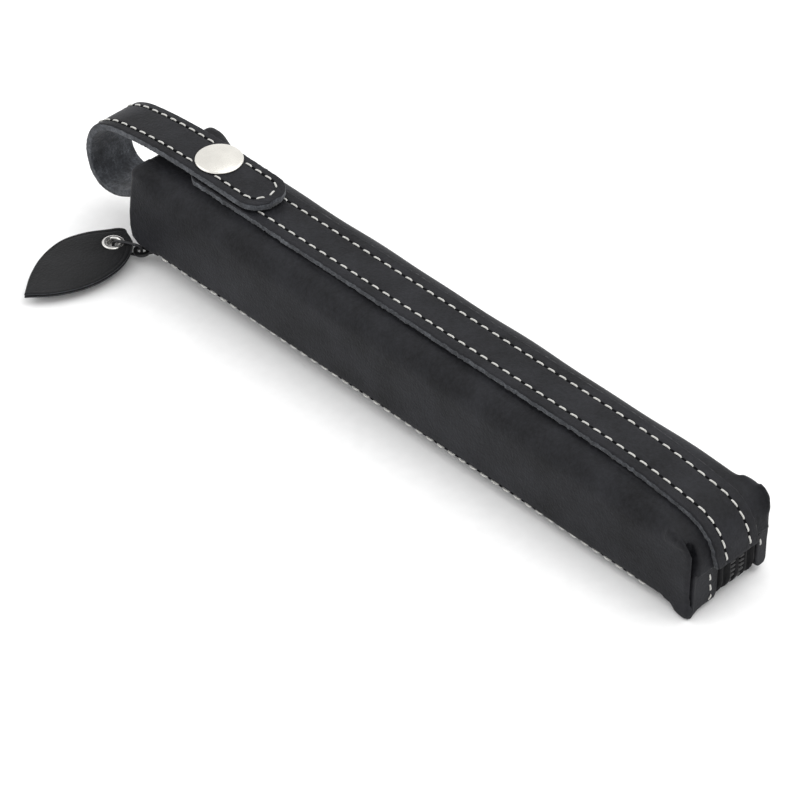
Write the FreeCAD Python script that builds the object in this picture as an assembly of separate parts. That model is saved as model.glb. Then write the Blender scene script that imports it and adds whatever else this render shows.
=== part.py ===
"""Leather pen case with a zip along its underside, a snap strap loop and a leaf-shaped zip pull.

Frame: +X along the case towards its plain end, +Z up, and the strap loop at the -X end.
The origin is at the middle of the case's length and width, on the plane of its zipped underside.
All lengths are in millimetres.
"""
import FreeCAD, Part
import math
import os

Vector = FreeCAD.Vector

# ---- driving dimensions ----
X_LEFT = -100.0          # outer face of the strap end
X_RIGHT = 98.2           # outer face of the plain end, under the top strip
HALF_WIDTH = 14.2        # outer half width of the case
HEIGHT = 25.6            # outer height of the case body
LEATHER = 1.5            # body leather
EDGE_RADIUS_LOW = 3.0    # long edges beside the zip
EDGE_RADIUS_TOP = 8.0    # long edges beside the top strip
END_RADIUS_LOW = 4.25    # underside to end faces
SEAM_Z = 12.6            # height of the seam across each end

STRIP_HALF = 7.2         # top strip
STRIP_THICK = 1.8
STRIP_X0 = -88.5
STRAP_HALF = 7.0         # strap and tongue
STRAP_Y = -0.65          # the strap sits a little off centre
STRAP_THICK = 2.0
STRAP_TIP_X = -58.4

STITCH_LENGTH = 2.6
STITCH_WIDTH = 0.75
STITCH_HEIGHT = 0.35
STITCH_PITCH = 3.8
STRIP_ROW_Y = 4.27
STRAP_ROW_Y = 4.65

SNAP_X = -80.9
CAP_RADIUS = 6.35

MOUTH_HALF = 10.4        # half gap between the leather edges along the zip
END_MOUTH_HALF = 6.45    # the same gap on the end faces
MOUTH_TAPER = (84.0, 95.0)
TAPE_FOLD_Y = 9.6        # the tape folds open about this line
TAPE_THICK = 0.5
CHAIN_HALF = 3.3         # half width of the two rows of teeth
CHAIN_THICK = 1.2
SLIT_HALF = 0.35         # room between the rows for the slider's post
TOOTH_PITCH = 1.4

SLIDER_X = -88.5         # slider's middle, with the zip closed
SLIDER_LENGTH = 11.0
SLIDER_HALF = 4.3
SLIDER_TRAVEL = 175.0
PLATE = 0.8
FOOT_X = SLIDER_X - 3.5  # front foot of the slider's bridge, which the tab turns on

PULL_Z = -2.35           # middle plane of tab, ring and leaf, under the case
RING_WIRE = 0.4          # wire radius
RING_HALF_HEIGHT = 1.65  # wire centre line above and below the middle plane
RING_SPAN = 8.0          # from the tab's hole to the leaf's eyelet
EYELET_X, EYELET_Y = -105.7, -16.4
RING_DIRECTION = (0.885, 0.466)
LEAF_LAYER = 0.85
TAB_THICK = 0.9


# ---- flat outlines made of lines and tangent arcs ----
def unit(a, b):
    """Unit vector from a to b."""
    length = math.hypot(b[0] - a[0], b[1] - a[1])
    return (b[0] - a[0]) / length, (b[1] - a[1]) / length


def corner(before, point, after, radius, offset):
    """Start, middle and end of the arc that rounds a corner, moved offset to the left."""
    d0, d1 = unit(before, point), unit(point, after)
    turn = math.atan2(d0[0] * d1[1] - d0[1] * d1[0], d0[0] * d1[0] + d0[1] * d1[1])
    side = 1.0 if turn > 0 else -1.0
    reach = radius * math.tan(abs(turn) / 2)
    start = (point[0] - d0[0] * reach, point[1] - d0[1] * reach)
    end = (point[0] + d1[0] * reach, point[1] + d1[1] * reach)
    centre = (start[0] - d0[1] * radius * side, start[1] + d0[0] * radius * side)
    away = unit(centre, point)
    middle = (centre[0] + away[0] * radius, centre[1] + away[1] * radius)
    scale = (radius - side * offset) / radius
    return [
        (centre[0] + (p[0] - centre[0]) * scale, centre[1] + (p[1] - centre[1]) * scale)
        for p in (start, middle, end)
    ]


def open_path(points, radii, offset=0.0):
    """Segments of an open path whose inner corners are rounded, moved offset to the left."""
    first, last = unit(points[0], points[1]), unit(points[-2], points[-1])
    here = (points[0][0] - first[1] * offset, points[0][1] + first[0] * offset)
    segments = []
    for i, radius in enumerate(radii, start=1):
        arc = corner(points[i - 1], points[i], points[i + 1], radius, offset)
        segments.append((here, arc[0]))
        segments.append(tuple(arc))
        here = arc[2]
    segments.append((here, (points[-1][0] - last[1] * offset, points[-1][1] + last[0] * offset)))
    return segments


def closed_path(points, radii, offset=0.0):
    """Segments of a closed outline, one radius for each corner, moved offset to the left."""
    n = len(points)
    arcs = [corner(points[i - 1], points[i], points[(i + 1) % n], radii[i], offset) for i in range(n)]
    segments = []
    for i, arc in enumerate(arcs):
        segments.append(tuple(arc))
        segments.append((arc[2], arcs[(i + 1) % n][0]))
    return segments


def face_of(segments, place):
    """Face inside closed segments. place turns a flat point into a vector."""
    edges = []
    for segment in segments:
        ends = [place(*p) for p in segment]
        if len(ends) == 3:
            edges.append(Part.Arc(*ends).toShape())
        elif ends[0].distanceToPoint(ends[1]) > 1e-6:
            edges.append(Part.LineSegment(*ends).toShape())
    return Part.Face(Part.Wire(edges))


def ribbon(points, radii, low, high, y0, y1):
    """Band along a path in the XZ plane, between two offsets of it, from y0 to y1."""
    there = open_path(points, radii, high)
    back = [tuple(reversed(s)) for s in reversed(open_path(points, radii, low))]
    ring = there + [(there[-1][-1], back[0][0])] + back + [(back[-1][-1], there[0][0])]
    return face_of(ring, lambda x, z: Vector(x, y0, z)).extrude(Vector(0, y1 - y0, 0))


def walk(points, radii, spacing, margin, offset=0.0):
    """Points evenly spaced along a path, each with the direction of travel in radians."""
    marks, travelled = [], -margin
    for segment in open_path(points, radii, offset):
        if len(segment) == 2:
            edge = Part.LineSegment(Vector(*segment[0], 0), Vector(*segment[1], 0)).toShape()
        else:
            edge = Part.Arc(*[Vector(*p, 0) for p in segment]).toShape()
        while travelled + edge.Length >= len(marks) * spacing:
            along = edge.getParameterByLength(len(marks) * spacing - travelled)
            point, tangent = edge.valueAt(along), edge.tangentAt(along)
            marks.append((point.x, point.y, math.atan2(tangent.y, tangent.x)))
        travelled += edge.Length
    return marks


# ---- small shapes ----
def box(x0, x1, y0, y1, z0, z1):
    return Part.makeBox(x1 - x0, y1 - y0, z1 - z0, Vector(x0, y0, z0))


def drum(radius, x, y, z0, z1):
    """Upright cylinder."""
    return Part.makeCylinder(radius, z1 - z0, Vector(x, y, z0))


def drilled(shape, radius, x, y, z0, z1):
    return shape.cut(drum(radius, x, y, z0, z1))


def stitch(x, z, angle, y, gap=0.0):
    """One thread float lying on a surface that runs along X at this slope."""
    shape = box(-STITCH_LENGTH / 2, STITCH_LENGTH / 2, -STITCH_WIDTH / 2, STITCH_WIDTH / 2,
                gap, gap + STITCH_HEIGHT)
    shape.rotate(Vector(0, 0, 0), Vector(0, 1, 0), -math.degrees(angle))
    shape.translate(Vector(x, y, z))
    return shape


def mirrored(shape):
    """The same shape on the other side of the case's middle plane."""
    return shape.mirror(Vector(0, 0, 0), Vector(0, 1, 0))


# ---- body leather ----
TOP_SLOPE_X = 71.4       # the top starts to fall here, towards the plain end
STRIP_PATH = [(STRIP_X0, HEIGHT + STRIP_THICK), (TOP_SLOPE_X, HEIGHT + STRIP_THICK),
              (97.1, 23.3), (100.05, SEAM_Z + 0.1)]
STRIP_RADII = [200.0, 12.0]
SIDE_PROFILE = [(X_LEFT, 0), (X_RIGHT, 0), (X_RIGHT, SEAM_Z - 0.6), (95.25, 21.77),
                (TOP_SLOPE_X - 0.3, HEIGHT), (X_LEFT, HEIGHT)]
SIDE_RADII = [END_RADIUS_LOW, END_RADIUS_LOW, 4.0, 10.2, 198.2, 3.5]
CROSS_SECTION = [(-HALF_WIDTH, 0), (HALF_WIDTH, 0), (HALF_WIDTH, HEIGHT), (-HALF_WIDTH, HEIGHT)]
CROSS_RADII = [EDGE_RADIUS_LOW, EDGE_RADIUS_LOW, EDGE_RADIUS_TOP, EDGE_RADIUS_TOP]


def rounded_block(inset):
    """The case's outer form, or with an inset the hollow inside it."""
    side = face_of(closed_path(SIDE_PROFILE, SIDE_RADII, inset), lambda x, z: Vector(x, -20, z))
    across = face_of(closed_path(CROSS_SECTION, CROSS_RADII, inset), lambda y, z: Vector(-120, y, z))
    return side.extrude(Vector(0, 40, 0)).common(across.extrude(Vector(240, 0, 0)))


def mouth_cutter():
    """The gap for the zip: along the underside and up both ends to the seams."""
    x0, x1 = MOUTH_TAPER
    half = [(-x1 - 6, END_MOUTH_HALF), (-x1, END_MOUTH_HALF), (-x0, MOUTH_HALF),
            (x0 - 2, MOUTH_HALF), (x1 - 2, END_MOUTH_HALF), (x1 + 6, END_MOUTH_HALF)]
    outline = half + [(x, -y) for x, y in reversed(half)]
    wire = Part.makePolygon([Vector(x, y, -1) for x, y in outline + outline[:1]])
    slot = Part.Face(wire).extrude(Vector(0, 0, LEATHER + 1))
    ends = [box(X_LEFT - 1, X_LEFT + 5, -END_MOUTH_HALF, END_MOUTH_HALF, -1, SEAM_Z - 2.5),
            box(X_RIGHT - 5, X_RIGHT + 1, -END_MOUTH_HALF, END_MOUTH_HALF, -1, SEAM_Z - 0.6)]
    return slot.fuse(ends)


def corner_tuck(x_end, inward, y_side):
    """The folded layers inside one corner, and the open crease beside the ear: (added, cut)."""
    y0, y1 = sorted((y_side * 9.5, y_side * 13.0))
    x0, x1 = sorted((x_end + inward * 1.0, x_end + inward * 6.0))
    layers = box(x0, x1, y0, y1, 1.0, 22.0)
    y0, y1 = sorted((y_side * 11.2, y_side * 12.5))
    x0, x1 = sorted((x_end - inward * 1.0, x_end + inward * 4.0))
    return layers, box(x0, x1, y0, y1, -1.0, 21.0)


def body_leather():
    hollow = rounded_block(LEATHER)
    shell = rounded_block(0.0).cut(hollow)
    creases = []
    for x_end, inward in ((X_LEFT, 1), (X_RIGHT, -1)):
        for y_side in (-1, 1):
            layers, crease = corner_tuck(x_end, inward, y_side)
            shell = shell.fuse(layers.common(hollow))
            creases.append(crease)
        seam = sorted((x_end - inward * 1.0, x_end + inward * 0.5))
        creases.append(box(*seam, -11.2, 11.2, SEAM_Z - 0.5, SEAM_Z - 0.1))
    strap_slot = box(X_LEFT - 1, X_LEFT + 2, STRAP_Y - STRAP_HALF, STRAP_Y + STRAP_HALF,
                     SEAM_Z - 1.2, SEAM_Z + 0.8)
    shell = shell.cut(mouth_cutter()).cut(creases).cut(strap_slot)
    return drilled(shell, 1.5, SNAP_X, 0, HEIGHT - 3, HEIGHT + 1).removeSplitter()


# ---- top strip and the rows of stitches on the leather ----
def top_strip():
    strip = ribbon(STRIP_PATH, STRIP_RADII, -STRIP_THICK, 0.0, -STRIP_HALF, STRIP_HALF)
    outline = [(STRIP_X0, -STRIP_HALF), (110, -STRIP_HALF), (110, STRIP_HALF), (STRIP_X0, STRIP_HALF)]
    plan = face_of(closed_path(outline, [5.5, 1, 1, 5.5]), lambda x, y: Vector(x, y, 0))
    strip = strip.common(plan.extrude(Vector(0, 0, 40)))
    return drilled(strip, 1.5, SNAP_X, 0, HEIGHT - 1, HEIGHT + 3)


def strip_stitches(y):
    marks = walk(STRIP_PATH, STRIP_RADII, STITCH_PITCH, 5.5)
    return Part.makeCompound([stitch(x, z, angle, y) for x, z, angle in marks
                              if z > SEAM_Z + 1.4 and abs(x - SNAP_X) > 7])


def edge_stitches(side):
    """The row beside the zip: along the lower long edge, and up both end faces."""
    row = []
    lean = math.radians(39.0)
    reach = EDGE_RADIUS_LOW + STITCH_HEIGHT / 2
    count = int(2 * 82 / STITCH_PITCH)
    for i in range(count):
        x = -82 + STITCH_PITCH * (i + 0.5)
        thread = box(-STITCH_LENGTH / 2, STITCH_LENGTH / 2, -STITCH_WIDTH / 2, STITCH_WIDTH / 2,
                     -STITCH_HEIGHT / 2, STITCH_HEIGHT / 2)
        thread.rotate(Vector(0, 0, 0), Vector(1, 0, 0), -side * math.degrees(math.pi / 2 + lean))
        thread.translate(Vector(x, side * (HALF_WIDTH - EDGE_RADIUS_LOW + reach * math.cos(lean)),
                                EDGE_RADIUS_LOW - reach * math.sin(lean)))
        row.append(thread)
    for x in (X_LEFT - STITCH_HEIGHT, X_RIGHT):
        for z in (4.6, 8.4):
            row.append(box(x, x + STITCH_HEIGHT, side * 9.0 - STITCH_WIDTH / 2,
                           side * 9.0 + STITCH_WIDTH / 2, z, z + STITCH_LENGTH))
    return Part.makeCompound(row)


# ---- strap: sewn into the left seam, it curls round and snaps down on the strip ----
TONGUE_TOP = 30.5
PIVOT = (-123.9, 18.0)
ROOT_PATH = [(-98.0, SEAM_Z - 0.2), (-103.5, SEAM_Z - 0.2), (-117.0, 3.9), (-125.3, 7.4), (-124.95, 16.0)]
ROOT_RADII = [12.0, 7.5, 6.3]
TONGUE_PATH = [PIVOT, (-122.2, 23.2), (-114.5, 27.0), (-97.0, TONGUE_TOP - STRAP_THICK / 2),
               (STRAP_TIP_X, TONGUE_TOP - STRAP_THICK / 2)]
TONGUE_RADII = [9.0, 14.0, 60.0]


def strap_root():
    return ribbon(ROOT_PATH, ROOT_RADII, -STRAP_THICK / 2, STRAP_THICK / 2,
                  STRAP_Y - STRAP_HALF, STRAP_Y + STRAP_HALF)


def strap_tongue():
    y0, y1 = STRAP_Y - STRAP_HALF, STRAP_Y + STRAP_HALF
    band = ribbon(TONGUE_PATH, TONGUE_RADII, -STRAP_THICK / 2, STRAP_THICK / 2, y0, y1)
    knuckle = Part.makeCylinder(STRAP_THICK / 2, y1 - y0, Vector(PIVOT[0], y0, PIVOT[1]), Vector(0, 1, 0))
    outline = [(-140, y0), (STRAP_TIP_X, y0), (STRAP_TIP_X, y1), (-140, y1)]
    plan = face_of(closed_path(outline, [1, 5.5, 5.5, 1]), lambda x, y: Vector(x, y, 0))
    band = band.fuse(knuckle).removeSplitter().common(plan.extrude(Vector(0, 0, 45)))
    return drilled(band, 1.6, SNAP_X, 0, 27, 32)


def strap_root_stitches():
    marks = walk(ROOT_PATH, ROOT_RADII, STITCH_PITCH, 4.5, STRAP_THICK / 2)
    rows = [stitch(x, z, angle, STRAP_Y + side * STRAP_ROW_Y, 0.1)
            for x, z, angle in marks if x < X_LEFT - 3 and z < PIVOT[1] - 7 for side in (-1, 1)]
    return Part.makeCompound(rows)


def strap_tongue_stitches():
    marks = walk(TONGUE_PATH, TONGUE_RADII, STITCH_PITCH, 4.2, STRAP_THICK / 2)
    rows = [stitch(x, z, angle, STRAP_Y + side * STRAP_ROW_Y, 0.1)
            for x, z, angle in marks if x < STRAP_TIP_X - 6.5 for side in (-1, 1)]
    rows = [thread for thread in rows if abs(thread.BoundBox.Center.x - SNAP_X) > CAP_RADIUS + 1.6]
    for y, lean in ((-3.4, 45), (0.0, 90), (3.4, 135)):
        thread = stitch(0, TONGUE_TOP, 0, 0, 0.1)
        thread.rotate(Vector(0, 0, 0), Vector(0, 0, 1), lean)
        thread.translate(Vector(STRAP_TIP_X - 2.6 - abs(y) * 0.45, STRAP_Y + y, 0))
        rows.append(thread)
    return Part.makeCompound(rows)


# ---- snap fastener ----
def snap_cap():
    rim = drum(CAP_RADIUS, SNAP_X, 0, TONGUE_TOP, TONGUE_TOP + 0.5)
    rise = 0.9
    ball_radius = (CAP_RADIUS ** 2 + rise ** 2) / (2 * rise)
    ball = Part.makeSphere(ball_radius, Vector(SNAP_X, 0, TONGUE_TOP + 0.5 + rise - ball_radius))
    dome = ball.common(drum(CAP_RADIUS, SNAP_X, 0, TONGUE_TOP + 0.5, TONGUE_TOP + 3))
    shank = drum(1.5, SNAP_X, 0, TONGUE_TOP - STRAP_THICK, TONGUE_TOP)
    return rim.fuse([dome, shank]).removeSplitter()


def snap_socket():
    top = TONGUE_TOP - STRAP_THICK
    return drilled(drum(5.2, SNAP_X, 0, top - 0.65, top), 2.1, SNAP_X, 0, top - 1, top + 1)


def snap_stud():
    base = HEIGHT + STRIP_THICK
    return drum(4.6, SNAP_X, 0, base, base + 0.35).fuse(drum(1.9, SNAP_X, 0, base + 0.35, base + 1.0))


def snap_rivet():
    ceiling = HEIGHT - LEATHER
    head = drum(4.6, SNAP_X, 0, ceiling - 0.6, ceiling)
    return head.fuse(drum(1.4, SNAP_X, 0, ceiling, HEIGHT + STRIP_THICK))


# ---- zip ----
BEND_LEFT = X_LEFT + END_RADIUS_LOW
BEND_RIGHT = X_RIGHT - END_RADIUS_LOW
OPENS_FROM = SLIDER_X + SLIDER_LENGTH / 2 + 0.3
OPENS_TO = SLIDER_X + SLIDER_TRAVEL - SLIDER_LENGTH / 2 - 0.3
CHAIN_Z = LEATHER - CHAIN_THICK
STOP_X = SLIDER_X - SLIDER_LENGTH / 2 - 0.3


def end_profile(x_from, x_face):
    """Path on the underside's inner face from x_from to an end, then up it to the seam."""
    inner = x_face - math.copysign(LEATHER, x_face)
    return [(x_from, LEATHER), (inner, LEATHER), (inner, SEAM_Z - 1.4)], [END_RADIUS_LOW - LEATHER]


def tape_half(x0, x1):
    return box(x0, x1, -TAPE_FOLD_Y, -SLIT_HALF, LEATHER, LEATHER + TAPE_THICK)


def tape_margins():
    """The tape's outer edges, sewn to the leather beside the mouth."""
    edge = HALF_WIDTH - EDGE_RADIUS_LOW
    margin = box(OPENS_FROM, OPENS_TO, -edge, -TAPE_FOLD_Y - 0.4, LEATHER, LEATHER + TAPE_THICK)
    return Part.makeCompound([margin, mirrored(margin)])


def tape_end(x_from, x_face):
    """Both tape halves over one end, as two pieces."""
    points, radii = end_profile(x_from, x_face)
    band = (0.0, TAPE_THICK) if x_face > 0 else (-TAPE_THICK, 0.0)
    half = ribbon(points, radii, *band, -9.0, -SLIT_HALF)
    return Part.makeCompound([half, mirrored(half)])


def teeth_row(x0, x1):
    """One row of teeth: a bead with a finger for each tooth, reaching to the middle slit."""
    points = [(x0, -CHAIN_HALF), (x1, -CHAIN_HALF), (x1, -CHAIN_HALF + 0.6)]
    count = int((x1 - x0) / TOOTH_PITCH)
    start = (x0 + x1 + count * TOOTH_PITCH) / 2
    for i in range(count):
        right = start - i * TOOTH_PITCH - 0.25
        left = right - TOOTH_PITCH + 0.5
        points += [(right, -CHAIN_HALF + 0.6), (right, -SLIT_HALF),
                   (left, -SLIT_HALF), (left, -CHAIN_HALF + 0.6)]
    points.append((x0, -CHAIN_HALF + 0.6))
    wire = Part.makePolygon([Vector(x, y, CHAIN_Z) for x, y in points + points[:1]])
    return Part.Face(wire).extrude(Vector(0, 0, CHAIN_THICK))


def teeth_left_end():
    half = teeth_row(STOP_X + 0.3, OPENS_FROM - 0.3)
    return Part.makeCompound([half, mirrored(half)])


def teeth_right_end():
    """The last teeth under the slider's open position, and the chain's tail up the end face."""
    flat = teeth_row(OPENS_TO + 0.3, BEND_RIGHT - 1.9)
    points, radii = end_profile(BEND_RIGHT - 0.1, X_RIGHT)
    tail = ribbon(points, radii, -CHAIN_THICK, 0.0, -CHAIN_HALF, -SLIT_HALF)
    return Part.makeCompound([flat, mirrored(flat), tail, mirrored(tail)])


def top_stops():
    stop = box(STOP_X - 1.1, STOP_X, -2.2, -SLIT_HALF, CHAIN_Z, LEATHER)
    return Part.makeCompound([stop, mirrored(stop)])


def bottom_stop():
    return box(BEND_RIGHT - 1.7, BEND_RIGHT - 0.3, -2.2, 2.2, CHAIN_Z, LEATHER)


# ---- slider, tab, ring and leaf pull ----
def shield(z0, z1):
    """The slider's plan: two shoulders at the front and a narrower tail."""
    front, back = SLIDER_X - SLIDER_LENGTH / 2, SLIDER_X + SLIDER_LENGTH / 2
    outline = [(front, -SLIDER_HALF), (back, -SLIDER_HALF + 0.6),
               (back, SLIDER_HALF - 0.6), (front, SLIDER_HALF)]
    plan = face_of(closed_path(outline, [1.6, 1.2, 1.2, 1.6]), lambda x, y: Vector(x, y, z0))
    return plan.extrude(Vector(0, 0, z1 - z0))


def slider_body():
    inner_z = LEATHER + TAPE_THICK + 0.2
    outer = shield(-PLATE, 1.2).cut(box(-120, 0, -3.5, 3.5, 0, 3))
    inner = shield(inner_z, inner_z + PLATE)
    post = box(SLIDER_X - 5.0, SLIDER_X - 1.5, -0.25, 0.25, 0, inner_z)
    return outer.fuse([inner, post])


def slider_bridge():
    """Flat bar bent into a bridge below the outer plate."""
    low = PULL_Z - TAB_THICK / 2 - 0.15 - 0.4
    rear = FOOT_X + 7.0
    points = [(FOOT_X, -PLATE), (FOOT_X, low), (rear, low), (rear, -PLATE)]
    return ribbon(points, [0.9, 0.9], -0.4, 0.4, -0.8, 0.8)


TAB_HOLE = (EYELET_X + RING_SPAN * RING_DIRECTION[0], EYELET_Y + RING_SPAN * RING_DIRECTION[1])


def pull_tab():
    """Flat link from the bridge's front foot to the ring."""
    length = math.hypot(TAB_HOLE[0] - FOOT_X, TAB_HOLE[1])
    z0, z1 = -TAB_THICK / 2, TAB_THICK / 2
    tab = drum(2.4, 0, 0, z0, z1).fuse([drum(2.2, length, 0, z0, z1), box(0, length, -1.5, 1.5, z0, z1)])
    tab = drilled(tab, 1.15, 0, 0, z0 - 1, z1 + 1)
    tab = drilled(tab, 1.2, length, 0, z0 - 1, z1 + 1).removeSplitter()
    tab.rotate(Vector(0, 0, 0), Vector(0, 0, 1), math.degrees(math.atan2(TAB_HOLE[1], TAB_HOLE[0] - FOOT_X)))
    tab.translate(Vector(FOOT_X, 0, PULL_Z))
    return tab


def pull_ring():
    """Oval wire ring standing on edge, through the tab's hole and the eyelet."""
    h = RING_HALF_HEIGHT
    first, last = h, RING_SPAN - h
    ends = [Part.Arc(Vector(first, 0, h), Vector(0, 0, 0), Vector(first, 0, -h)).toShape(),
            Part.Arc(Vector(last, 0, -h), Vector(RING_SPAN, 0, 0), Vector(last, 0, h)).toShape()]
    low = Part.LineSegment(Vector(first, 0, -h), Vector(last, 0, -h)).toShape()
    high = Part.LineSegment(Vector(last, 0, h), Vector(first, 0, h)).toShape()
    start = Part.Wire(Part.makeCircle(RING_WIRE, Vector(last, 0, h), Vector(1, 0, 0)))
    ring = Part.Wire([high, ends[0], low, ends[1]]).makePipeShell([start], True, True)
    ring.rotate(Vector(0, 0, 0), Vector(0, 0, 1),
                math.degrees(math.atan2(-RING_DIRECTION[1], -RING_DIRECTION[0])))
    ring.translate(Vector(TAB_HOLE[0], TAB_HOLE[1], PULL_Z))
    return ring


LEAF_LEFT = [(-5.2, 2.2), (-9.8, -2.4), (-11.6, -8.4), (-10.0, -15.6), (-5.6, -23.2), (0.1, -30.6)]
LEAF_RIGHT = [(0.1, -30.6), (4.8, -23.6), (8.3, -15.4), (9.0, -8.4), (7.6, -2.2), (4.9, 2.4)]
LEAF_BASE = [(4.9, 2.4), (0.0, 5.4), (-5.2, 2.2)]


def leaf_layer(z0):
    """One leather layer of the pull, in the shape of a leaf, with the eyelet's hole."""
    def place(p):
        return Vector(EYELET_X + p[0], EYELET_Y + p[1], z0)
    sides = []
    for points in (LEAF_LEFT, LEAF_RIGHT):
        curve = Part.BSplineCurve()
        curve.interpolate([place(p) for p in points])
        sides.append(curve.toShape())
    base = Part.Arc(*[place(p) for p in LEAF_BASE]).toShape()
    leaf = Part.Face(Part.Wire([sides[0], sides[1], base])).extrude(Vector(0, 0, LEAF_LAYER))
    return drilled(leaf, 2.1, EYELET_X, EYELET_Y, z0 - 1, z0 + 2)


def leaf_eyelet():
    low, high = PULL_Z - LEAF_LAYER, PULL_Z + LEAF_LAYER
    flanges = [drum(3.1, EYELET_X, EYELET_Y, low - 0.3, low), drum(3.1, EYELET_X, EYELET_Y, high, high + 0.3)]
    barrel = drum(2.0, EYELET_X, EYELET_Y, low, high)
    return drilled(barrel.fuse(flanges), 1.7, EYELET_X, EYELET_Y, low - 1, high + 1).removeSplitter()


def parts():
    near_tape, near_teeth = tape_half(OPENS_FROM, OPENS_TO), teeth_row(OPENS_FROM, OPENS_TO)
    return {
        "body_leather": body_leather(),
        "top_strip": top_strip(),
        "strip_stitches_near": strip_stitches(-STRIP_ROW_Y),
        "strip_stitches_far": strip_stitches(STRIP_ROW_Y),
        "edge_stitches_near": edge_stitches(-1),
        "edge_stitches_far": edge_stitches(1),
        "strap_root": strap_root(),
        "strap_root_stitches": strap_root_stitches(),
        "strap_tongue": strap_tongue(),
        "strap_tongue_stitches": strap_tongue_stitches(),
        "snap_cap": snap_cap(),
        "snap_socket": snap_socket(),
        "snap_stud": snap_stud(),
        "snap_rivet": snap_rivet(),
        "tape_near": near_tape,
        "tape_far": mirrored(near_tape),
        "tape_margins": tape_margins(),
        "tape_left_end": tape_end(OPENS_FROM - 0.3, X_LEFT),
        "tape_right_end": tape_end(OPENS_TO + 0.3, X_RIGHT),
        "teeth_near": near_teeth,
        "teeth_far": mirrored(near_teeth),
        "teeth_left_end": teeth_left_end(),
        "teeth_right_end": teeth_right_end(),
        "top_stops": top_stops(),
        "bottom_stop": bottom_stop(),
        "slider_body": slider_body(),
        "slider_bridge": slider_bridge(),
        "pull_tab": pull_tab(),
        "pull_ring": pull_ring(),
        "leaf_front": leaf_layer(PULL_Z),
        "leaf_back": leaf_layer(PULL_Z - LEAF_LAYER),
        "leaf_eyelet": leaf_eyelet(),
    }


def main():
    os.makedirs("parts", exist_ok=True)
    for name, shape in parts().items():
        solids = shape.Solids
        if not solids or not shape.isValid():
            raise SystemExit(f"{name} is not a valid solid")
        print(f"{name}: {len(solids)} solid(s), {shape.Volume:.1f} mm3")
        shape.exportStep(f"parts/{name}.step")


main()
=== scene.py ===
"""Leather fountain pen case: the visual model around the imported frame.

Lengths are in millimetres here and are turned into metres when a mesh is made.
"""
import math
import bpy
import numpy as np
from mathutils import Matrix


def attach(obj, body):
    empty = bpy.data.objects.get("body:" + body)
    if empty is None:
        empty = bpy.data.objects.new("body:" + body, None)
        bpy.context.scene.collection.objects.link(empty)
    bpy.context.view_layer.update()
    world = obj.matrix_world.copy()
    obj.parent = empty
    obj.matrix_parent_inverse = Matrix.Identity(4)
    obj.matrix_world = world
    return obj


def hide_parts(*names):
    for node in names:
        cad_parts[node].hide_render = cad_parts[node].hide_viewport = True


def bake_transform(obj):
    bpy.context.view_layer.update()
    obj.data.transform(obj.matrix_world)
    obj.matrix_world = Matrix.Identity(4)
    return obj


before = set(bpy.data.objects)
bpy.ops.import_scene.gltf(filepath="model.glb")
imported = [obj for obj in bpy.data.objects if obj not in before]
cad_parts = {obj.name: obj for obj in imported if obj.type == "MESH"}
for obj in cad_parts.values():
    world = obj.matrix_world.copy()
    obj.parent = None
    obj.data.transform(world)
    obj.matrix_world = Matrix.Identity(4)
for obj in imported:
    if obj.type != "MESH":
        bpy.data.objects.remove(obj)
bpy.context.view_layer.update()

import openvdb
from mathutils import Vector

MM = 0.001

# ---- sizes shared with the CAD model ----
X_LEFT, X_RIGHT = -100.0, 98.2
HALF_WIDTH, HEIGHT, LEATHER = 14.2, 25.6, 1.5
SEAM_Z = 12.6
STRIP_HALF, STRIP_THICK, STRIP_ROW = 7.1, 1.8, 4.1
STRAP_HALF, STRAP_Y, STRAP_THICK, STRAP_ROW = 7.0, -0.65, 2.0, 4.65
TONGUE_TOP = 30.5
SNAP_X, CAP_RADIUS = -80.9, 6.35
PITCH = 3.786
STRIP_NEAR_FIRST, STRIP_FAR_FIRST = 1.82, 5.3
EYELET = (-105.7, -16.4)
PULL_Z, LEAF_LAYER = -2.35, 0.85
MOUTH = 10.4                                     # half width of the opening along the underside
EDGE_RADIUS = 3.0                                # of the rounded edges along the underside
TAPE_Z, TAPE_THICK = 1.55, 0.4
TOOTH_PITCH, TOOTH_Y, TOOTH_Z = 1.4, 1.62, 0.95
END_EDGES = {1: (4.2, 9.3), -1: (6.45, 6.45)}    # near and far leather edges on each end face
RIGHT_ZIP_SHIFT = 2.5                            # how far off centre the zip climbs the right end


# ---- materials ----
def new_material(name):
    """A material with its node tree, its shader and its object-space coordinates."""
    material = bpy.data.materials.new(name)
    material.use_nodes = True
    tree = material.node_tree
    shader = tree.nodes["Principled BSDF"]
    coords = tree.nodes.new("ShaderNodeTexCoord")
    return material, tree, shader, coords.outputs["Object"]


def noise(tree, coords, scale, detail=4.0, roughness=0.55, stretch=None):
    """Noise over object space, with scale in features per metre."""
    if stretch:
        mapping = tree.nodes.new("ShaderNodeMapping")
        mapping.inputs["Scale"].default_value = stretch
        tree.links.new(coords, mapping.inputs["Vector"])
        coords = mapping.outputs["Vector"]
    node = tree.nodes.new("ShaderNodeTexNoise")
    node.inputs["Scale"].default_value = scale
    node.inputs["Detail"].default_value = detail
    node.inputs["Roughness"].default_value = roughness
    tree.links.new(coords, node.inputs["Vector"])
    return node.outputs["Fac"]


def ramp(tree, value, stops):
    """Colour from a value. stops holds (place, colour) pairs."""
    node = tree.nodes.new("ShaderNodeValToRGB")
    elements = node.color_ramp.elements
    while len(elements) < len(stops):
        elements.new(0.5)
    for element, (place, colour) in zip(elements, stops):
        element.position = place
        element.color = (*colour, 1.0)
    tree.links.new(value, node.inputs["Fac"])
    return node.outputs["Color"]


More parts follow.
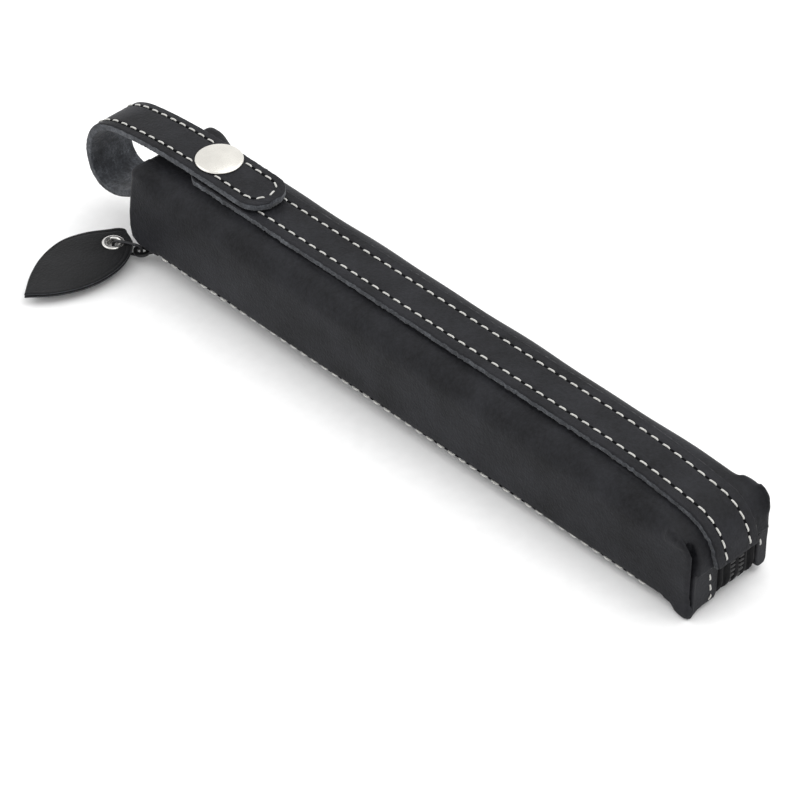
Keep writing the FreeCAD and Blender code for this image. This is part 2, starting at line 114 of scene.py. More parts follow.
def spread(tree, value, low, high):
    """A value from 0 to 1 mapped to the range from low to high."""
    node = tree.nodes.new("ShaderNodeMapRange")
    node.inputs["To Min"].default_value = low
    node.inputs["To Max"].default_value = high
    tree.links.new(value, node.inputs["Value"])
    return node.outputs["Result"]


def blend_values(tree, a, b, share):
    node = tree.nodes.new("ShaderNodeMix")
    node.inputs["Factor"].default_value = share
    tree.links.new(a, node.inputs["A"])
    tree.links.new(b, node.inputs["B"])
    return node.outputs["Result"]


def bump(tree, shader, height, distance, strength=1.0):
    node = tree.nodes.new("ShaderNodeBump")
    node.inputs["Distance"].default_value = distance
    node.inputs["Strength"].default_value = strength
    tree.links.new(height, node.inputs["Height"])
    tree.links.new(node.outputs["Normal"], shader.inputs["Normal"])


def leather_material(name, dark, light, rough=(0.5, 0.68), sheen=0.02):
    """Oiled nubuck: cloudy tone, fine nap and scattered pores."""
    material, tree, shader, coords = new_material(name)
    cloud = noise(tree, coords, 70.0, 3.0)
    nap = noise(tree, coords, 900.0, 6.0, 0.7)
    tone = blend_values(tree, cloud, nap, 0.45)
    tree.links.new(ramp(tree, tone, [(0.36, dark), (0.64, light)]), shader.inputs["Base Color"])
    tree.links.new(spread(tree, nap, *rough), shader.inputs["Roughness"])
    shader.inputs["Specular IOR Level"].default_value = 0.16
    shader.inputs["Sheen Weight"].default_value = sheen
    shader.inputs["Sheen Roughness"].default_value = 0.45
    shader.inputs["Sheen Tint"].default_value = (0.75, 0.78, 0.85, 1.0)
    pores = tree.nodes.new("ShaderNodeTexVoronoi")
    pores.inputs["Scale"].default_value = 1500.0
    tree.links.new(coords, pores.inputs["Vector"])
    height = blend_values(tree, nap, pores.outputs["Distance"], 0.4)
    bump(tree, shader, height, 0.0002, 0.7)
    return material


def suede_material():
    """Raw split leather on the cut edges and the back: pale grey fibres."""
    material, tree, shader, coords = new_material("suede_edge")
    fibre = noise(tree, coords, 1500.0, 6.0, 0.75)
    clump = noise(tree, coords, 330.0, 4.0, 0.6)
    tone = blend_values(tree, clump, fibre, 0.55)
    stops = [(0.32, (0.012, 0.013, 0.015)), (0.5, (0.042, 0.045, 0.052)), (0.7, (0.14, 0.15, 0.165))]
    tree.links.new(ramp(tree, tone, stops), shader.inputs["Base Color"])
    shader.inputs["Roughness"].default_value = 0.95
    shader.inputs["Specular IOR Level"].default_value = 0.1
    shader.inputs["Sheen Weight"].default_value = 0.15
    shader.inputs["Sheen Roughness"].default_value = 0.6
    bump(tree, shader, tone, 0.0004, 0.9)
    return material


def thread_material():
    """Waxed off-white thread with its ply."""
    material, tree, shader, coords = new_material("thread")
    fuzz = noise(tree, coords, 2600.0, 3.0)
    tree.links.new(ramp(tree, fuzz, [(0.3, (0.36, 0.355, 0.33)), (0.65, (0.56, 0.555, 0.53))]),
                   shader.inputs["Base Color"])
    shader.inputs["Roughness"].default_value = 0.6
    shader.inputs["Sheen Weight"].default_value = 0.2
    ply = tree.nodes.new("ShaderNodeTexWave")
    ply.bands_direction = "DIAGONAL"
    ply.inputs["Scale"].default_value = 380.0
    ply.inputs["Distortion"].default_value = 0.6
    tree.links.new(coords, ply.inputs["Vector"])
    bump(tree, shader, ply.outputs["Fac"], 0.00008, 0.6)
    return material


def hole_material():
    """The inside of a needle hole, with its shade painted in as a near-black colour."""
    material, tree, shader, coords = new_material("needle_hole")
    shade_mottle = noise(tree, coords, 1500.0)
    # painted shade: the hole's darkness is a near-black colour, mottled a little by noise
    tree.links.new(ramp(tree, shade_mottle, [(0.3, (0.002, 0.002, 0.002)), (0.7, (0.007, 0.007, 0.008))]),
                   shader.inputs["Base Color"])
    shader.inputs["Roughness"].default_value = 0.95
    shader.inputs["Specular IOR Level"].default_value = 0.05
    return material


def metal_material(name, colour, rough):
    """Plated metal with a faint grain and a few rubbed patches."""
    material, tree, shader, coords = new_material(name)
    grain = noise(tree, coords, 500.0, 5.0, 0.7, (1.0, 9.0, 1.0))
    patch = noise(tree, coords, 160.0, 3.0)
    low = tuple(c * 0.9 for c in colour)
    tree.links.new(ramp(tree, patch, [(0.35, low), (0.65, colour)]), shader.inputs["Base Color"])
    tree.links.new(spread(tree, blend_values(tree, grain, patch, 0.4), *rough),
                   shader.inputs["Roughness"])
    shader.inputs["Metallic"].default_value = 1.0
    bump(tree, shader, grain, 0.00001, 0.35)
    return material


def tape_material():
    """Black woven zip tape: a herringbone of fine ribs."""
    material, tree, shader, coords = new_material("zip_tape")
    ribs = tree.nodes.new("ShaderNodeTexWave")
    ribs.bands_direction = "X"
    ribs.inputs["Scale"].default_value = 420.0
    ribs.inputs["Distortion"].default_value = 0.5
    tree.links.new(coords, ribs.inputs["Vector"])
    cross = tree.nodes.new("ShaderNodeTexWave")
    cross.bands_direction = "Y"
    cross.inputs["Scale"].default_value = 420.0
    tree.links.new(coords, cross.inputs["Vector"])
    weave = blend_values(tree, ribs.outputs["Fac"], cross.outputs["Fac"], 0.5)
    lint = noise(tree, coords, 1400.0)
    tone = blend_values(tree, weave, lint, 0.5)
    tree.links.new(ramp(tree, tone, [(0.3, (0.0025, 0.0025, 0.003)), (0.75, (0.010, 0.010, 0.011))]),
                   shader.inputs["Base Color"])
    shader.inputs["Roughness"].default_value = 0.85
    shader.inputs["Sheen Weight"].default_value = 0.05
    shader.inputs["Specular IOR Level"].default_value = 0.2
    bump(tree, shader, weave, 0.00012, 0.8)
    return material


def teeth_material():
    """Black nylon coil, a little worn."""
    material, tree, shader, coords = new_material("zip_teeth")
    wear = noise(tree, coords, 700.0)
    tree.links.new(ramp(tree, wear, [(0.3, (0.004, 0.004, 0.0045)), (0.7, (0.012, 0.012, 0.013))]),
                   shader.inputs["Base Color"])
    tree.links.new(spread(tree, wear, 0.28, 0.5), shader.inputs["Roughness"])
    bump(tree, shader, wear, 0.00004, 0.4)
    return material


LEATHER_MAT = leather_material("nubuck", (0.0036, 0.0037, 0.0046), (0.0175, 0.0180, 0.0215))
LEAF_MAT = leather_material("nubuck_pull", (0.0050, 0.0051, 0.0056), (0.0135, 0.0138, 0.0150),
                            (0.42, 0.6), 0.03)
SUEDE_MAT = suede_material()
THREAD_MAT = thread_material()
HOLE_MAT = hole_material()
CAP_MAT = metal_material("snap_metal", (0.77, 0.75, 0.70), (0.2, 0.34))
ZIP_MAT = metal_material("zip_metal", (0.68, 0.67, 0.65), (0.18, 0.32))
TAPE_MAT = tape_material()
TEETH_MAT = teeth_material()
TAB_MAT = metal_material("black_nickel", (0.05, 0.05, 0.053), (0.22, 0.4))


# ---- meshes ----
def make(name, points, faces, materials, indices=None):
    """Mesh object from points in millimetres. indices gives each face's material."""
    mesh = bpy.data.meshes.new(name)
    mesh.from_pydata((np.asarray(points, float) * MM).tolist(), [], [list(map(int, f)) for f in faces])
    for material in materials:
        mesh.materials.append(material)
    if indices is not None:
        mesh.polygons.foreach_set("material_index", np.asarray(indices, np.int32))
    mesh.polygons.foreach_set("use_smooth", np.ones(len(mesh.polygons), bool))
    mesh.update()
    obj = bpy.data.objects.new(name, mesh)
    bpy.context.scene.collection.objects.link(obj)
    return obj


def unit(v):
    v = np.asarray(v, float)
    return v / np.linalg.norm(v, axis=-1, keepdims=True)


def smoothstep(low, high, value):
    t = np.clip((value - low) / (high - low), 0.0, 1.0)
    return t * t * (3 - 2 * t)


def lengths_along(line):
    """Distance along a line from its start to each of its points."""
    return np.concatenate([[0], np.cumsum(np.linalg.norm(np.diff(line, axis=0), axis=1))])


def round_end(distance, reach, power):
    """Share of a band's full width at some distance from its rounded end."""
    return np.sqrt(np.clip(1 - np.clip(1 - distance / reach, 0, 1) ** power, 0, 1))


def ring_faces(rings, around):
    """Faces between neighbouring rings of points."""
    return [(i * around + j, i * around + (j + 1) % around, (i + 1) * around + (j + 1) % around,
             (i + 1) * around + j) for i in range(rings - 1) for j in range(around)]


def end_caps(rings, around):
    """Faces that close the first and the last ring."""
    return [tuple(range(around - 1, -1, -1)), tuple((rings - 1) * around + j for j in range(around))]


def spline(points, step):
    """Points spaced about step apart along a smooth curve through the given points."""
    p = np.asarray(points, float)
    p = np.vstack([2 * p[0] - p[1], p, 2 * p[-1] - p[-2]])
    knots = np.concatenate([[0], np.cumsum(np.sqrt(np.linalg.norm(np.diff(p, axis=0), axis=1)))])
    out = []
    for i in range(1, len(p) - 2):
        t = np.linspace(knots[i], knots[i + 1], 40, endpoint=False)[:, None]
        a = [((knots[i + j] - t) * p[i + j - 1] + (t - knots[i + j - 1]) * p[i + j])
             / (knots[i + j] - knots[i + j - 1]) for j in range(3)]
        b = [((knots[i + 1 + j] - t) * a[j] + (t - knots[i - 1 + j]) * a[j + 1])
             / (knots[i + 1 + j] - knots[i - 1 + j]) for j in range(2)]
        out.append(((knots[i + 1] - t) * b[0] + (t - knots[i]) * b[1]) / (knots[i + 1] - knots[i]))
    out.append(p[-2][None])
    return resample(np.vstack(out), step)


def resample(line, step):
    """The same line with its points evenly spaced, about step apart."""
    lengths = lengths_along(line)
    marks = np.linspace(0, lengths[-1], max(2, int(round(lengths[-1] / step)) + 1))
    return np.column_stack([np.interp(marks, lengths, line[:, k]) for k in range(line.shape[1])])


def normals_of(line):
    """Left-hand normals of a line in the XZ plane."""
    tangent = unit(np.gradient(line, axis=0))
    return np.column_stack([-tangent[:, 1], tangent[:, 0]])


def band(name, line, sections, kinds):
    """Leather swept along an XZ line. sections holds (y, height) points for each station, and kinds
    tells the nubuck face (0) from the raw edges and back (1)."""
    n, m = sections.shape[:2]
    normal = normals_of(line)
    points = np.empty((n, m, 3))
    points[..., 0] = line[:, None, 0] + normal[:, None, 0] * sections[..., 1]
    points[..., 2] = line[:, None, 1] + normal[:, None, 1] * sections[..., 1]
    points[..., 1] = sections[..., 0]
    faces = ring_faces(n, m) + end_caps(n, m)
    return make(name, points.reshape(-1, 3), faces, [LEATHER_MAT, SUEDE_MAT],
                kinds * (n - 1) + [1, 1])


def leather_section(half, thick, row, round_top=0.3, groove=0.16, columns=56):
    """Outline of a stitched leather band, from its top face round to its back."""
    y = np.linspace(-half, half, columns)
    edge = half - np.abs(y)
    top = -round_top * (1 - np.sqrt(np.clip(1 - (1 - np.clip(edge / round_top, 0, 1)) ** 2, 0, 1)))
    top -= groove * (np.exp(-((y - row) / 0.5) ** 2) + np.exp(-((y + row) / 0.5) ** 2))
    top += 0.10 * (1 - (y / half) ** 2)
    right = np.linspace(-round_top, -thick + 0.15, 6)[1:]
    back = np.linspace(half - 0.12, -half + 0.12, 22)
    points = [*zip(y, top)]
    points += [(half, h) for h in right]
    points += [(v, -thick) for v in back]
    points += [(-half, h) for h in right[::-1]]
    kinds = [0] * (columns - 1) + [1] * (len(points) - columns + 1)
    return np.array(points), kinds


# ---- threads ----
def thread_template(length=2.55, width=0.26, height=0.2, rise=0.16):
    """One stitch: a thread float whose ends dive into the leather."""
    around, along = 10, 13
    u = np.linspace(-1, 1, along)
    v = np.linspace(0, 2 * np.pi, around, endpoint=False)
    swell = np.sqrt(np.clip(1 - np.abs(u) ** 5, 0, 1)) * 0.9 + 0.1
    points = np.empty((along, around, 3))
    points[..., 0] = (u * length / 2)[:, None]
    points[..., 1] = np.cos(v)[None] * width * swell[:, None]
    points[..., 2] = np.sin(v)[None] * height * swell[:, None] + (rise - 0.42 * np.abs(u) ** 4)[:, None]
    points[:, :, 1] += 0.05 * np.sin(u * 3)[:, None]
    return points.reshape(-1, 3), ring_faces(along, around) + end_caps(along, around)


def hole_template(length=1.15, width=0.34):
    """One needle hole: a shallow dish between two stitches, which its material paints dark as the hole's shade.
    """
    around = 14
    v = np.linspace(0, 2 * np.pi, around, endpoint=False)
    rim = np.column_stack([np.cos(v) * length / 2 * 1.25, np.sin(v) * width, np.full(around, 0.02)])
    lip = np.column_stack([np.cos(v) * length / 2, np.sin(v) * width * 0.8, np.full(around, 0.05)])
    base = np.column_stack([np.cos(v) * length / 2, np.sin(v) * width * 0.8, np.full(around, -0.25)])
    points = np.vstack([rim, lip, base])
    faces = ring_faces(3, around)
    faces += [tuple(range(around)), tuple(range(3 * around - 1, 2 * around - 1, -1))]
    return points, faces


def place_all(name, template, places, material):
    """Copies of a template at (origin, along, normal) places, as one object."""
    points, faces = template
    many_points, many_faces = [], []
    for k, (origin, along, normal) in enumerate(places):
        x_axis = unit(along)
        z_axis = unit(np.asarray(normal) - np.dot(normal, x_axis) * x_axis)
        y_axis = np.cross(z_axis, x_axis)
        many_points.append(points @ np.array([x_axis, y_axis, z_axis]) + np.asarray(origin))
        many_faces += [tuple(i + k * len(points) for i in face) for face in faces]
    return make(name, np.vstack(many_points), many_faces, [material])


def seam(line3, normals3, pitch, start, skip=None, tighten=None):
    """Stitch and needle-hole places along a line in space. skip leaves places out, and tighten gives
    the pitch's local factor."""
    lengths = lengths_along(line3)
    tangents = unit(np.gradient(line3, axis=0))
    stitches, holes = [], []
    s, half = start, 0
    while s < lengths[-1] - 0.6:
        at = [np.interp(s, lengths, line3[:, k]) for k in range(3)]
        along = [np.interp(s, lengths, tangents[:, k]) for k in range(3)]
        normal = [np.interp(s, lengths, normals3[:, k]) for k in range(3)]
        if not (skip and skip(at)):
            (holes if half else stitches).append((at, along, normal))
        s += pitch / 2 * (tighten(at) if tighten else 1.0)
        half = 1 - half
    return stitches, holes


# ---- the strip's line over the top and down the plain end ----
def filleted(points, radii, step=0.6):
    """Straight runs joined by arcs, as in the CAD model."""
    line = [np.array(points[0], float)]
    for i, radius in enumerate(radii, start=1):
        a, b, c = (np.array(points[i + k], float) for k in (-1, 0, 1))
        d0, d1 = unit(b - a), unit(c - b)
        turn = math.atan2(d0[0] * d1[1] - d0[1] * d1[0], float(d0 @ d1))
        reach = radius * math.tan(abs(turn) / 2)
        start = b - d0 * reach
        side = np.sign(turn)
        centre = start + np.array([-d0[1], d0[0]]) * radius * side
        for t in np.linspace(0, turn, max(6, int(abs(turn) * radius / step))):
            r = start - centre
            line.append(centre + np.array([r[0] * math.cos(t) - r[1] * math.sin(t),
                                           r[0] * math.sin(t) + r[1] * math.cos(t)]))
    line.append(np.array(points[-1], float))
    return np.array(line)


STRIP_TOP = HEIGHT + STRIP_THICK
STRIP_LINE = resample(filleted([(-88.5, STRIP_TOP), (71.4, STRIP_TOP), (97.1, 23.3), (100.05, SEAM_Z + 0.1)],
                               [200.0, 12.0]), 0.7)


# ---- body leather ----
def polygon_distance(outline, u, v):
    """Signed distance, negative inside, from points (u, v) to a closed outline."""
    best = np.full(np.broadcast(u, v).shape, 1e9)
    inside = np.zeros(best.shape, bool)
    for (x0, y0), (x1, y1) in zip(outline, np.roll(outline, -1, axis=0)):
        dx, dy = x1 - x0, y1 - y0
        t = np.clip(((u - x0) * dx + (v - y0) * dy) / max(dx * dx + dy * dy, 1e-12), 0, 1)
        best = np.minimum(best, (u - x0 - t * dx) ** 2 + (v - y0 - t * dy) ** 2)
        if y0 != y1:
            inside ^= ((y0 > v) != (y1 > v)) & (u < x0 + (v - y0) / (y1 - y0) * dx)
    return np.where(inside, -1.0, 1.0) * np.sqrt(best)


def join_soft(a, b, k):
    """a and b together, with a fillet about k wide between them."""
    h = np.clip(0.5 + 0.5 * (b - a) / k, 0, 1)
    return b * (1 - h) + a * h - k * h * (1 - h)


def cut_soft(a, b, k):
    """a without b."""
    return -join_soft(-a, b, k)


def block(x, y, z, centre, half, radius):
    """Distance to a rounded box."""
    q = [np.abs(v - c) - h + radius for v, c, h in zip((x, y, z), centre, half)]
    outside = np.sqrt(sum(np.maximum(v, 0) ** 2 for v in q))
    return outside + np.minimum(np.maximum(np.maximum(q[0], q[1]), q[2]), 0) - radius


def side_outline():
    """The case's outline seen from the side."""
    top = STRIP_LINE + normals_of(STRIP_LINE) * -STRIP_THICK
    top = top[top[:, 0] > -80]
    right = [(X_RIGHT, SEAM_Z - 0.4)]
    right += [(X_RIGHT - 2.4 + 2.4 * math.cos(t), 2.4 + 2.4 * math.sin(t))
              for t in np.linspace(0, -math.pi / 2, 10)]
    left = [(X_LEFT + 4.2 - 4.2 * math.sin(t), 4.2 - 4.2 * math.cos(t))
            for t in np.linspace(0, math.pi / 2, 10)]
    left += [(X_LEFT + 2.2 - 2.2 * math.cos(t), HEIGHT - 2.2 + 2.2 * math.sin(t))
             for t in np.linspace(0, math.pi / 2, 8)]
    return np.array([*top, *right, *left])


def cross_outline(shoulder):
    """The case's outline across its width: round shoulders, slightly full sides."""
    right = [(HALF_WIDTH + EDGE_RADIUS * (math.cos(t) - 1), EDGE_RADIUS * (1 + math.sin(t)))
             for t in np.linspace(-math.pi / 2, 0, 8)]
    right += [(HALF_WIDTH + 0.12 * math.sin(math.pi * (z - 3) / 15), z) for z in (6.0, 9.0, 12.0, 15.0)]
    right += [(HALF_WIDTH - shoulder * (1 - math.cos(t)), HEIGHT - shoulder * (1 - math.sin(t)))
              for t in np.linspace(0.02, math.pi / 2, 14)]
    return np.array(right + [(-y, z) for y, z in right[::-1]])


PANEL_HALF = 12.85
OPEN_TOP = {(1, -1): 1.9, (1, 1): 0.0}    # by (end, side), and 0.5 at both left folds
FOLD_TOP = 20.4


def ear_outline(end, side):
    """An ear's outline seen from the side, at one end (1 is right) and one side (1 is far)."""
    if end < 0:
        return np.array([(-84.0, 1.2), (-94.0, 0.4), (-98.4, 0.5), (-100.9, 2.0), (-101.7, 5.6),
                         (-101.6, 10.0), (-101.0, 16.0), (-100.2, 20.6), (-99.2, 23.6), (-97.0, 24.9),
                         (-84.0, 25.0)])
    if side < 0:
        return np.array([(84.0, 1.0), (89.0, 0.9), (92.6, 0.3), (94.4, -0.7), (95.8, -1.0), (97.1, -0.5),
                         (97.5, 2.2), (97.0, 6.0), (96.9, 11.0), (97.1, 16.0), (96.8, 19.2), (95.9, 21.2),
                         (94.2, 22.3), (92.0, 22.9), (84.0, 23.9)])
    return np.array([(84.0, 1.0), (91.0, 0.3), (94.6, 0.3), (96.0, 1.4), (96.8, 4.2), (97.1, 9.5),
                     (97.0, 15.0), (96.9, 19.5), (96.4, 21.7), (95.2, 23.0), (92.0, 23.2), (84.0, 23.9)])


def panel_half(z, end, side):
    """How far an end panel reaches towards an ear; the near right fold stands open at its top."""
    return PANEL_HALF - OPEN_TOP.get((end, side), 0.5) * smoothstep(10.5, 18.0, z)


def fold_corner(shell, outer, wall, x, y, z, x_end, end, side):
    """Cut the open fold beside an end panel and add the ear outside it. At the right end the ears stay
    close to the body, their tops run smoothly into its shoulders, and the near one droops to a foot."""
    ax, ay = (x - x_end) * end, y * side
    depth = np.maximum(-(ax + 3.6), 0)
    fold = np.maximum(panel_half(z, end, side) - ay + depth * 0.7, z - FOLD_TOP + 0.35 * depth)
    fold = np.maximum(fold, -(ax + 5.4))
    shell = cut_soft(shell, fold, 0.8)
    profile = polygon_distance(ear_outline(end, side), x[:, 0, :], z[:, 0, :])[:, None, :]
    ear = -join_soft(-wall, -profile, 1.3)
    ear = np.maximum(np.maximum(ear, 13.3 - ay), -(ax + 9.0))
    if end < 0:
        return np.minimum(shell, ear)
    free = 4.0 * (1 - smoothstep(12.0, 17.0, z)) + 3.0 * smoothstep(-6.0, -3.2, ax)
    ear = np.maximum(ear, outer + 0.05 - free)
    saddle = join_soft(shell, ear + 0.35, 1.8 if side < 0 else 3.0)
    share = smoothstep(18.5, 20.5, z) if side < 0 else smoothstep(14.0, 18.0, z)
    shell = np.minimum(shell, ear) * (1 - share) + saddle * share
    if side > 0:
        return shell
    foot = block(ax, ay, z, (-3.2, 12.7, 0.7), (2.6, 1.5, 1.5), 1.45)
    return join_soft(shell, foot, 1.6)


def end_flap_step(x, y, z, x_end, way):
    """The lower half of an end panel sits back behind the upper half."""
    ax = (x - x_end) * way
    flap = block(ax, y, z, (1.3, 0.0, 4.4), (2.0, 12.7, 8.0), 0.3)
    slit = block(ax, y, z, (0.0, 0.0, 12.05), (1.5, 11.9, 0.24), 0.15)
    return np.minimum(flap, slit)


def mouth_field(x, y, z):
    """Below zero in the gap for the zip: wide along the underside, narrow up the end faces."""
    across = smoothstep(85.0, 95.5, np.abs(x))
    lift = np.clip((3.2 - z) / 3.2, 0.0, 1.0)
    rounding = 3.0 * (1 - np.sqrt(1 - lift ** 2 * 0.999))
    (right_near, right_far), (left_near, left_far) = END_EDGES[1], END_EDGES[-1]
    edge = np.where(y < 0, np.where(x > 0, right_near, left_near), np.where(x > 0, right_far, left_far))
    half = MOUTH + (edge + rounding - MOUTH) * across
    return np.maximum(np.abs(y) - half, z - SEAM_Z + 0.25)


def body_field(x, y, z):
    """Below zero inside the leather."""
    drift = (0.16 * np.sin(x / 19.0 + 0.7) * np.sin(z / 8.0 + 0.4) + 0.10 * np.sin(x / 7.9 + y / 6.0)
             + 0.07 * np.sin(x / 4.3 - z / 3.1 + y / 9.0))
    drift = drift * smoothstep(-0.5, 2.5, z) * (1 - smoothstep(21.5, 24.5, z) * (np.abs(y) < 7.6))
    side = polygon_distance(SIDE_OUTLINE, x[:, 0, :], z[:, 0, :])[:, None, :]
    squarer = np.where(x > 0, smoothstep(85.0, 94.0, x), smoothstep(-88.0, -96.5, x))
    cross = polygon_distance(CROSS_OUTLINE, y[0], z[0])[None] * (1 - squarer)
    cross = cross + polygon_distance(END_CROSS_OUTLINE, y[0], z[0])[None] * squarer
    outer = -join_soft(-side, -cross, 1.8)
    hollow = outer + LEATHER
    outer = outer + drift
    shell = np.maximum(outer, -hollow)
    upper = smoothstep(6.0, 10.0, z)
    wall = cross * upper + (np.abs(y) - HALF_WIDTH) * (1 - upper) + drift
    for x_end, end in ((X_RIGHT, 1), (X_LEFT, -1)):
        liner = block((x - x_end) * end, np.abs(y), z, (-3.3, 11.6, 11.0), (3.2, 2.0, 10.6), 0.6)
        shell = join_soft(shell, np.maximum(liner, outer), 0.3)
        for side_of in (-1, 1):
            shell = fold_corner(shell, outer, wall, x, y, z, x_end, end, side_of)
        shell = cut_soft(shell, end_flap_step(x, y, z, x_end, end), 0.25)
    shell = cut_soft(shell, mouth_field(x, y, z), 0.5)
    rivet = np.maximum(np.hypot(x - SNAP_X, y) - 1.5, 20.0 - z)
    slot = block(x, y, z, (X_LEFT, STRAP_Y, SEAM_Z - 0.2), (3.0, STRAP_HALF + 0.2, 1.25), 0.2)
    return np.maximum(shell, -np.minimum(rivet, slot)).astype(np.float32)


SIDE_OUTLINE = side_outline()
CROSS_OUTLINE, END_CROSS_OUTLINE = cross_outline(8.0), cross_outline(2.6)


def body_leather():
    """The body's mesh, from its field on a grid that is finer in x at the two ends."""
    fine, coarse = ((0.3, 0.95))
    x = np.concatenate([np.arange(X_LEFT - 3, X_LEFT + 12, fine),
                        np.arange(X_LEFT + 12, X_RIGHT - 14, coarse),
                        np.arange(X_RIGHT - 14, X_RIGHT + 3, fine)])
    y = np.arange(-HALF_WIDTH - 2, HALF_WIDTH + 2.1, 0.29)
    z = np.arange(-2.2, HEIGHT + 1.3, 0.3)
    field = body_field(x[:, None, None], y[None, :, None], z[None, None, :])
    grid = openvdb.FloatGrid(2.0)
    grid.copyFromArray(np.clip(field, -2.0, 2.0))
    points, _, quads = grid.convertToPolygons(0.0, 0.0)
    index = [np.arange(len(axis)) for axis in (x, y, z)]
    points = np.column_stack([np.interp(points[:, k], index[k], axis)
                              for k, axis in enumerate((x, y, z))])
    return make("leather_body", points, quads[:, ::-1], [LEATHER_MAT])


body = body_leather()
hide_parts("body_leather")
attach(body, "case")


# ---- top strip ----
def strip_shift(x):
    """The strip is sewn on a little askew."""
    return -0.3 * np.clip(1 - x / 85.0, 0.0, 2.0)


def top_strip():
    """The strip, with a rounded left end, unevenly trimmed, and a frayed cut edge."""
    section, kinds = leather_section(STRIP_HALF, STRIP_THICK, STRIP_ROW)
    n = len(STRIP_LINE)
    sections = np.repeat(section[None], n, axis=0)
    s = lengths_along(STRIP_LINE)
    near, far = round_end(s - 1.6, 6.0, 2.4), round_end(s + 0.3, 6.5, 2.4)
    sections[:, :, 0] *= np.where(sections[:, :, 0] < 0, near[:, None], far[:, None])
    rng = np.random.default_rng(5)
    ragged = np.abs(section[:, 0]) > STRIP_HALF - 0.2
    fray = rng.normal(0, 0.09, (n, 1)) + rng.normal(0, 0.06, (n, ragged.sum()))
    sections[:, ragged, 0] += fray * np.sign(section[ragged, 0])
    sections[:, :, 0] += strip_shift(STRIP_LINE[:, 0])[:, None]
    return band("strip_leather", STRIP_LINE, sections, kinds)


strip = top_strip()
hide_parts("top_strip")
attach(strip, "case")

strip_normals = np.insert(normals_of(STRIP_LINE), 1, 0.0, axis=1)
for y, label, first in ((-STRIP_ROW, "near", STRIP_NEAR_FIRST + PITCH),
                        (STRIP_ROW, "far", STRIP_FAR_FIRST)):
    row = np.column_stack([STRIP_LINE[:, 0], y + strip_shift(STRIP_LINE[:, 0]), STRIP_LINE[:, 1]])
    stitches, holes = seam(row - strip_normals * 0.05, strip_normals, PITCH, first,
                           lambda at: math.hypot(at[0] - SNAP_X, at[1]) < 5.6,
                           lambda at: 0.87 if at[0] > 91 else 1.0)
    threads = place_all(f"strip_threads_{label}", thread_template(), stitches, THREAD_MAT)
    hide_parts(f"strip_stitches_{label}")
    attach(threads, "case")
    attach(place_all(f"strip_needle_holes_{label}", hole_template(), holes, HOLE_MAT), "case")


# ---- strap ----
STRAP_LINE = spline([(-98.2, 12.5), (-103.5, 11.1), (-109.2, 7.9), (-114.2, 5.6), (-118.8, 5.1),
                     (-122.5, 6.9), (-124.7, 12.0), (-124.0, 18.0), (-120.8, 23.2), (-115.6, 26.2),
                     (-108.0, 27.8), (-97.0, 29.0), (-85.0, 29.5), (-70.0, 29.5), (-58.9, 29.4)], 0.6)
STRAP_LENGTHS = lengths_along(STRAP_LINE)
STRAP_END = STRAP_LENGTHS[-1]
STRAP_PITCH = 3.64
STRAP_FIRST = 3.0        # the seam's distance from the root
NEAR_STITCH_X = -65.0    # a stitch on the near edge is centred here
STRAP_TIP_GAP, STRAP_TIP_RADIUS = 2.3, 4.5    # where the seam turns round the tip


def strap_leather():
    """The whole strap, from the end seam to its rounded tip, rough on its edges and back."""
    section, kinds = leather_section(STRAP_HALF, STRAP_THICK, STRAP_ROW)
    sections = np.repeat(section[None], len(STRAP_LINE), axis=0)
    sections[:, :, 0] *= round_end(STRAP_END - STRAP_LENGTHS + 0.2, 6.6, 2.1)[:, None]
    rng = np.random.default_rng(11)
    ragged = (np.abs(section[:, 0]) > STRAP_HALF - 0.2) | (section[:, 1] < -STRAP_THICK + 0.2)
    sections[:, ragged] += rng.normal(0, 0.06, (len(STRAP_LINE), ragged.sum(), 2))
    sections[:, :, 0] += STRAP_Y
    sections[:, :, 1] += STRAP_THICK / 2 - 0.05
    return band("strap_leather", STRAP_LINE, sections, kinds)


def strap_surface(s, y):
    """Point and normal on the strap's outer face."""
    normals = normals_of(STRAP_LINE)
    at = [np.interp(s, STRAP_LENGTHS, STRAP_LINE[:, k]) for k in range(2)]
    n = [np.interp(s, STRAP_LENGTHS, normals[:, k]) for k in range(2)]
    lift = STRAP_THICK / 2
    point = np.column_stack([at[0] + n[0] * lift, STRAP_Y + y, at[1] + n[1] * lift])
    return point, np.column_stack([n[0], np.zeros_like(n[0]), n[1]])


def bend_strap(obj):
    """Bake a strap piece's transform into its mesh."""
    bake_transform(obj)


def strap_seam():
    """Along the near edge, round the tip and back along the far edge."""
    tip, radius = STRAP_END - STRAP_TIP_GAP, STRAP_TIP_RADIUS
    side = np.arange(STRAP_FIRST, tip - radius, 0.5)
    turn = np.linspace(-math.pi / 2, 0, 12)
    corner = np.column_stack([tip - radius + radius * np.cos(turn),
                              -(STRAP_ROW - radius) + radius * np.sin(turn)])
    other = corner[::-1] * (1, -1)
    plan = np.vstack([np.column_stack([side, np.full(len(side), -STRAP_ROW)]), corner, other,
                      np.column_stack([side[::-1], np.full(len(side), STRAP_ROW)])])
    return strap_surface(plan[:, 0], plan[:, 1])


def near_cap(at):
    """True where the snap cap hides the stitches."""
    return at[2] > 25 and math.hypot(at[0] - SNAP_X, at[1]) < CAP_RADIUS + 0.9


strap = strap_leather()
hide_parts("strap_root", "strap_tongue")
bend_strap(strap)
line3, normals3 = strap_seam()
phase = (STRAP_END - (STRAP_LINE[-1, 0] - NEAR_STITCH_X) - STRAP_FIRST) % STRAP_PITCH
stitches, holes = seam(line3, normals3, STRAP_PITCH, phase, near_cap)
strap_threads = place_all("strap_threads", thread_template(2.45), stitches, THREAD_MAT)
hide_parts("strap_root_stitches", "strap_tongue_stitches")
bend_strap(strap_threads)
bend_strap(place_all("strap_needle_holes", hole_template(), holes, HOLE_MAT))


